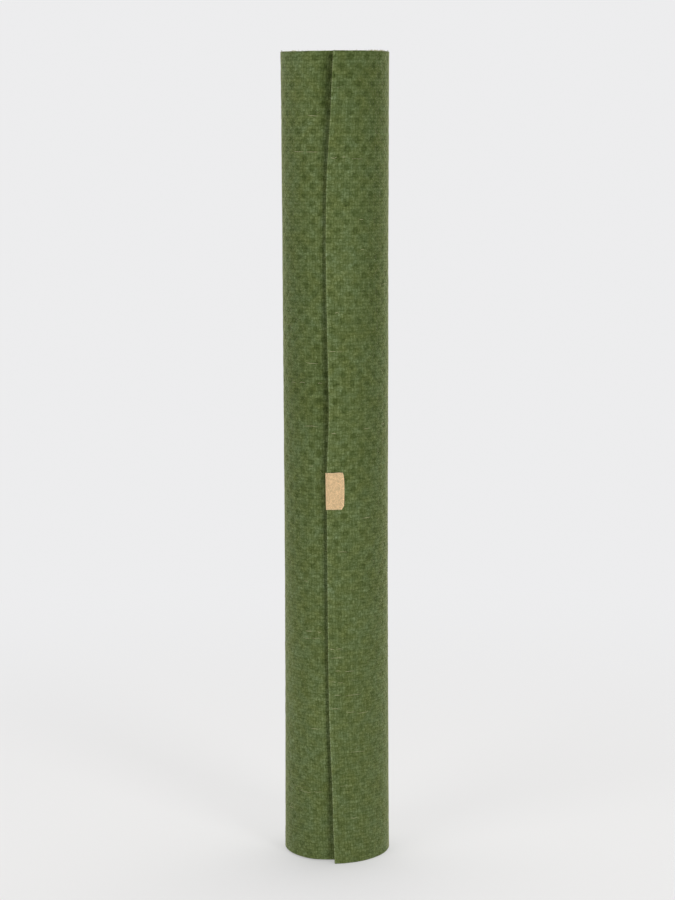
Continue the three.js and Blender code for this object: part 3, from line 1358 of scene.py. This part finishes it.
@dataclass
class LooseFibres:
    """Jute fibres: pale ones lie on the face of the cloth, and fine hairs stand on its edges.

    A pale fibre of the table starts at a distance along and a distance up the cloth, and
    runs on along it for a length, all in millimetres, with a share of the full thickness.
    The spans of the unseen ones, on the far side, are of the same four numbers. All other
    spans are in millimetres too, or in degrees from the free edge. A frayed row is where it
    starts and ends, and its number of fibre ends.
    """

    winding: Winding
    mat: RolledMat
    table: Table = (
        (0.7, 121.2, 6.7, 0.9), (0.7, 167.5, 3.5, 1.3), (0.7, 392, 4.8, 1),
        (0.9, 142, 4.1, 0.9), (1.9, 160.5, 8.6, 0.9), (1.9, 331, 3.5, 1.3),
        (1.9, 533.5, 4.1, 1), (4.1, 132, 4.3, 1), (4.7, 150.5, 3.5, 1),
        (5.4, 60.8, 8.8, 0.5), (5.4, 420, 2.8, 1), (5.5, 167, 5, 1),
        (6.2, 392, 3.6, 0.6), (6.6, 142, 3.6, 0.8), (7.1, 241.8, 7.1, 1),
        (9.3, 533.5, 2.9, 1), (11.2, 130.8, 12.6, 0.8), (11.7, 118.2, 7.6, 0.8),
        (11.7, 149.8, 6.9, 1), (12.1, 35.8, 5.3, 1), (13.6, 87, 12.2, 0.7),
        (16.6, 532.5, 8.8, 0.6), (20.9, 116.5, 8.8, 0.8), (23.8, 488, 3.3, 1),
        (25.3, 466.2, 2.6, 1), (25.8, 333.2, 5.5, 1), (26.2, 266, 7.5, 1),
        (203.7, 55.8, 15.8, 0.5), (208.3, 366.8, 4.7, 1), (212.4, 537.5, 9.4, 1),
        (213.5, 53.5, 11.1, 0.8), (217.3, 367.2, 4.7, 1), (219.7, 173.5, 7.1, 0.8),
        (221, 335, 11.5, 1), (221.3, 217.5, 3.6, 1), (222.6, 179.2, 6, 1.3),
        (223.1, 382.8, 9.7, 1), (223.6, 537.2, 10.1, 1), (223.9, 563.5, 8.4, 1),
        (226.2, 103.8, 6.5, 1), (226.4, 54.8, 6.2, 0.7), (226.4, 305.5, 3.2, 1),
        (227.8, 174.2, 6.3, 0.8), (232.5, 367.5, 2.9, 1), (232.7, 179.8, 2.3, 1),
    )
    unseen: int = 90
    unseen_spans: tuple[Span, ...] = ((42.0, 200.0), (20.0, 590.0), (2.5, 11.0), (0.5, 1.1))
    thickest: float = 0.19 * MM
    pale_end: float = 0.35
    pale_bend: float = 0.35
    pale_tilt: float = 0.05
    pale_tone: float = 0.6
    resting: float = 0.04 * MM
    lying: Hairs = Hairs(120, (2.5, 8.0), 0.3)
    upright_share: float = 0.2
    lying_bend: float = 0.7
    lying_back: Span = (2.0, 352.0)
    lying_height: Span = (12.0, 598.0)
    lowest_lying: float = 2 * MM
    highest_lying: float = 608 * MM
    lying_tip: Span = (0.05, 0.9)
    top: Hairs = Hairs(260, (0.5, 1.7), 0.8)
    foot: Hairs = Hairs(60, (0.5, 1.7), 0.8)
    outer_share: float = 0.5
    rim_sunk: float = 0.3 * MM
    rim_start: Span = (-0.9, 0.9)
    rim_spread: Span = (0.0, 0.7)
    rim_bend: float = 0.3 * MM
    rim_bend_turn: float = 3.0
    foot_climb: float = 0.1
    foot_spread: float = 1.6
    lowest: float = 0.12 * MM
    free: Hairs = Hairs(110, (0.4, 1.5), 0.7, (0.2, 1.0))
    free_start: float = 0.2 * MM
    free_height: Span = (5.0, 605.0)
    free_offset: Span = (-0.8, 1.0)
    frayed_rows: tuple[tuple[float, float, int], ...] = ((37.0, 64.0, 62), (309.0, 320.0, 14))
    frayed_length: Span = (0.6, 1.2)
    frayed_lean: float = 0.9
    frayed_offset: Span = (0.2, 1.1)
    frayed_sunk: float = 0.2 * MM
    frayed_curl: float = 0.3 * MM
    frayed_weight: float = 2.2
    hair_radius: Span = (0.05, 0.10)
    hair_thinning: float = 0.75
    steps: int = 6
    sides: int = 3
    tipped_up: float = 0.13
    seed: int = 11

    def __post_init__(self) -> None:
        """Starts the random numbers."""
        self.draw = np.random.default_rng(self.seed)

    def build(self) -> Piece:
        """Makes all the fibres.

        Returns:
            The fibres as one piece.
        """
        groups = (
            self.pale(),
            self.on_face(),
            self.on_rim(self.top, 1.0),
            self.on_rim(self.foot, -1.0),
            self.on_free_edge(),
            self.on_frayed_rows(),
        )
        joined = (
            np.concatenate([getattr(group, name) for group in groups])
            for name in ("back", "height", "offset", "radius", "tone")
        )
        return Strands(*joined).build("loose_fibres", self.winding, self.sides, self.tipped_up)

    def share(self) -> Array:
        """The steps of a fibre from its start to its tip, from 0 to 1."""
        return np.linspace(0.0, 1.0, self.steps)[None, :]

    def drawn(self, count: int, span: Span) -> Array:
        """A random number of a span for each fibre."""
        return self.draw.uniform(*span, (count, 1))

    def strayed(self, count: int, spread: float) -> Array:
        """A random number near 0 for each fibre, by the normal curve."""
        return self.draw.normal(0.0, spread, (count, 1))

    def tapered(self, count: int) -> Array:
        """Hairs' radii, which thin out towards the tip by the square of the way there."""
        thinned = 1.0 - self.hair_thinning * self.share() ** 2
        return self.drawn(count, self.hair_radius) * MM * thinned

    def grown(self, hairs: Hairs, back: Array, height: Array, offset: Array) -> Strands:
        """Hairs along given paths, with a radius and a shade drawn for each."""
        radius = self.tapered(hairs.count)
        return Strands(back, height, offset, radius, self.drawn(hairs.count, hairs.tone)[:, 0])

    def pale(self) -> Strands:
        """Pale thick fibres that lie along the cloth: the table's, and more on the far side.

        A fibre bends by half a sine, and its radius is a flattened half sine of its length.

        Returns:
            The fibres.
        """
        more = np.concatenate([self.drawn(self.unseen, span) for span in self.unseen_spans], 1)
        start, height, length, thickness = np.concatenate((self.table, more)).T[:, :, None]
        share, count = self.share(), len(start)
        back = self.winding.back_of((start + length * share) * MM)
        bend = self.strayed(count, self.pale_bend) * np.sin(math.pi * share)
        tilt = self.strayed(count, self.pale_tilt) * length * share
        swell = self.pale_end + (1.0 - self.pale_end) * np.sqrt(np.sin(math.pi * share))
        offset = self.winding.thickness / 2 + self.resting + 0.0 * back
        tone = np.clip(self.pale_tone + (1.0 - self.pale_tone) * thickness[:, 0], 0.0, 1.0)
        radius = self.thickest * thickness * swell
        return Strands(back, (height + bend + tilt) * MM, offset, radius, tone)

    def on_face(self) -> Strands:
        """Fine hairs that lie on the outer turn, mostly along the yarns that go round.

        A hair goes off in one direction and bends by a sine of its own length, close to the
        face, with its tip a little off it.

        Returns:
            The hairs.
        """
        count, share = self.lying.count, self.share()
        run = self.drawn(count, self.lying.length) * MM * share
        heading = self.strayed(count, self.lying.lean)
        heading = heading + math.pi / 2 * (self.draw.random((count, 1)) < self.upright_share)
        bend = self.strayed(count, self.lying_bend) * MM * np.sin(math.pi * share)
        along = run * np.cos(heading) - bend * np.sin(heading)
        climb = run * np.sin(heading) + bend * np.cos(heading)
        back = self.drawn(count, self.lying_back) + self.winding.angle_of(along)
        height = self.drawn(count, self.lying_height) * MM + climb
        height = np.clip(height, self.lowest_lying, self.highest_lying)
        tip = self.drawn(count, self.lying_tip) ** 2 * MM
        offset = self.winding.thickness / 2 + self.resting + tip * share**2
        return self.grown(self.lying, back, height, offset)

    def on_rim(self, hairs: Hairs, side: float) -> Strands:
        """Hairs that stand out of a cut edge, many of them on the outer turn.

        Args:
            hairs: the growth.
            side: 1 for the upper edge, and -1 for the lower one.

        Returns:
            The hairs.
        """
        count, share, upper = hairs.count, self.share(), side > 0
        outer = self.draw.random((count, 1)) < self.outer_share
        around = self.drawn(count, (0.0, FULL_TURN))
        inside = self.drawn(count, (FULL_TURN, self.winding.turns() * FULL_TURN))
        back = np.where(outer, around, inside)
        edge = (self.mat.top_end if upper else self.mat.foot_end).height(back)
        edge = edge if upper else edge + self.rim_sunk
        length = self.drawn(count, hairs.length) * MM * share
        lean = self.strayed(count, hairs.lean)
        climb = side * length * np.cos(lean) * (1.0 if upper else self.foot_climb)
        drift = length * np.sin(lean) + self.rim_bend * np.sin(self.rim_bend_turn * share)
        start = self.drawn(count, self.rim_start) * MM
        spread = self.drawn(count, self.rim_spread) * MM * share
        height = np.maximum(edge - side * self.rim_sunk + climb, self.lowest)
        offset = start + spread * (1.0 if upper else self.foot_spread)
        return self.grown(hairs, back + self.winding.angle_of(drift), height, offset)

    def on_free_edge(self) -> Strands:
        """Hairs that stick out of the free edge, past its rounded nose.

        Returns:
            The hairs.
        """
        count, share = self.free.count, self.share()
        length = self.drawn(count, self.free.length) * MM * share
        lean = self.strayed(count, self.free.lean)
        back = -self.winding.angle_of(self.free_start + length * np.cos(lean))
        height = self.drawn(count, self.free_height) * MM + length * np.sin(lean)
        offset = self.drawn(count, self.free_offset) * MM + 0.0 * share
        return self.grown(self.free, back, height, offset)

    def on_frayed_rows(self) -> Strands:
        """Rows of thick pale fibre ends on the upper edge, where the cloth is frayed.

        Returns:
            The fibre ends.
        """
        share = self.share()
        start = np.concatenate([self.drawn(n, (low, high)) for low, high, n in self.frayed_rows])
        count = len(start)
        length = self.drawn(count, self.frayed_length) * MM * share
        lean = self.strayed(count, self.frayed_lean)
        back = start + self.winding.angle_of(length * np.sin(lean))
        rise = length * np.abs(np.cos(lean)) - self.frayed_sunk
        offset = self.drawn(count, self.frayed_offset) * MM + self.frayed_curl * share**2
        radius = self.frayed_weight * self.tapered(count)
        height = self.mat.top_end.height(start) + rise
        return Strands(back, height, offset, radius, np.ones(count))


@dataclass(frozen=True)
class Softbox:
    """A large soft light that faces the middle of the mat and isn't seen itself."""

    name: str
    place: Triple
    size: Span
    power: float
    aim: Triple = (0.0, 0.0, 0.3)

    def build(self) -> None:
        """Makes the light."""
        light = bpy.data.lights.new(self.name, "AREA")
        light.shape = "RECTANGLE"
        light.size, light.size_y = self.size
        light.energy = self.power
        lamp = bpy.data.objects.new(self.name, light)
        lamp.location = self.place
        facing = Vector(self.aim) - Vector(self.place)
        lamp.rotation_euler = facing.to_track_quat("-Z", "Y").to_euler()
        lamp.visible_camera = False
        bpy.context.scene.collection.objects.link(lamp)


@dataclass(frozen=True)
class Studio:
    """A plain pale floor in soft light, and the camera of the photograph."""

    backdrop: Colour = (0.845, 0.845, 0.853)
    lit_from: Span = (-0.2, 0.7)
    front_and_back_light: Span = (0.34, 1.45)
    floor_tone: Colour = (0.757, 0.747, 0.735)
    floor_middle: float = 0.05
    floor_spans: Span = (0.1, 9.0)
    floor_rings: int = 24
    floor_sides: int = 96
    floor_gloss: Gloss = Gloss(0.9, 0.1)
    glow: float = 0.48
    glows_over: Span = (0.2, 0.95)
    lights: tuple[Softbox, ...] = (
        Softbox("left_light", (-1.75, -1.75, 1.2), (1.4, 2.0), 21.5),
        Softbox("right_light", (1.3, -1.9, 1.0), (0.7, 1.6), 21.0),
        Softbox("top_light", (0.2, 0.6, 2.6), (1.6, 1.6), 25.0),
    )
    camera_place: Triple = (1.13 * MM, -1686.3 * MM, 576.5 * MM)
    camera_pitch: float = 8.902
    camera_roll: float = -0.167
    lens: float = 90.11
    sensor: float = 36.0

    def build(self) -> None:
        """Makes the floor, the lights and the camera."""
        self.floor()
        self.surroundings()
        for light in self.lights:
            light.build()
        self.camera()
        bpy.context.scene.view_settings.view_transform = "Standard"

    def floor(self) -> None:
        """A round floor: rings of points, each further out than the last by one share."""
        rings = np.geomspace(*self.floor_spans, self.floor_rings)
        rings = np.concatenate(([self.floor_middle], rings))
        turned = np.linspace(0.0, -math.tau, self.floor_sides + 1)[:, None]
        flat = np.stack((rings * np.cos(turned), rings * np.sin(turned)), axis=-1)
        places = np.concatenate((flat, np.zeros((*flat.shape[:2], 1))), axis=-1)
        shell = Shell()
        index = shell.patch(places, flat, 0.0, 1.0)
        shell.faces.append(index[:-1, 0][None, ::-1])
        ground = shell.mesh("floor")
        ground.data.materials.append(self.paper())

    def paper(self) -> Material:
        """Matt white paper near the mat, which fades into the lit backdrop far off.

        Returns:
            The material.
        """
        graph = Finish("floor_paper")
        away = graph.node("ShaderNodeVectorMath", operation="LENGTH")
        graph.feed(away.inputs[0], graph.node("ShaderNodeTexCoord").outputs["Object"])
        glow = graph.fed(graph.node("ShaderNodeEmission"), {"Color": self.backdrop})
        distance = graph.step(away.outputs["Value"], *self.glows_over)
        graph.blend(graph.scaled(distance, self.glow, 1.0), graph.shader.outputs[0], glow)
        return graph.done(self.floor_tone, self.floor_gloss)

    def surroundings(self) -> None:
        """A pale backdrop all round. It lights the mat from behind more than from the front."""
        world = bpy.data.worlds.new("soft_surround")
        world.use_nodes = True
        graph = Nodes(world.node_tree)
        seen = graph.fed(graph.tree.nodes["Background"], {"Color": self.backdrop})
        facing = graph.split(graph.node("ShaderNodeTexCoord").outputs["Generated"])[1]
        level = graph.scaled(graph.step(facing, *self.lit_from), *self.front_and_back_light)
        lit = graph.fed(graph.node("ShaderNodeBackground"), {"Strength": level})
        graph.blend(graph.node("ShaderNodeLightPath").outputs["Is Camera Ray"], lit, seen)
        bpy.context.scene.world = world

    def camera(self) -> None:
        """The camera, from where the photograph was taken."""
        data = bpy.data.cameras.new("camera")
        data.lens = self.lens
        data.sensor_width = self.sensor
        camera = bpy.data.objects.new("camera", data)
        tilt = Matrix.Rotation(math.radians(90.0 - self.camera_pitch), 4, "X")
        roll = Matrix.Rotation(math.radians(self.camera_roll), 4, "Z")
        camera.matrix_world = Matrix.Translation(self.camera_place) @ tilt @ roll
        bpy.context.scene.collection.objects.link(camera)
        bpy.context.scene.camera = camera


def main() -> None:
    """Loads the frame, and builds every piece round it."""
    logging.basicConfig(level=logging.INFO, format="%(message)s")
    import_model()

    winding = Winding()
    rolled = RolledMat(winding)
    settle(rolled.build(), JuteFinish().material())

    folded = FoldedLabel(winding)
    settle(folded.build(), TapeFinish().material())
    thread = StrandFinish("pale_thread", (0.62, 0.46, 0.28), (0.80, 0.63, 0.42))
    settle(folded.stitches(), thread.material())

    fibre = StrandFinish("jute_fibre", (0.12, 0.15, 0.05), (0.42, 0.41, 0.22))
    settle(LooseFibres(winding, rolled).build(), fibre.material())

    Studio().build()


if __name__ == "__main__":
    main()
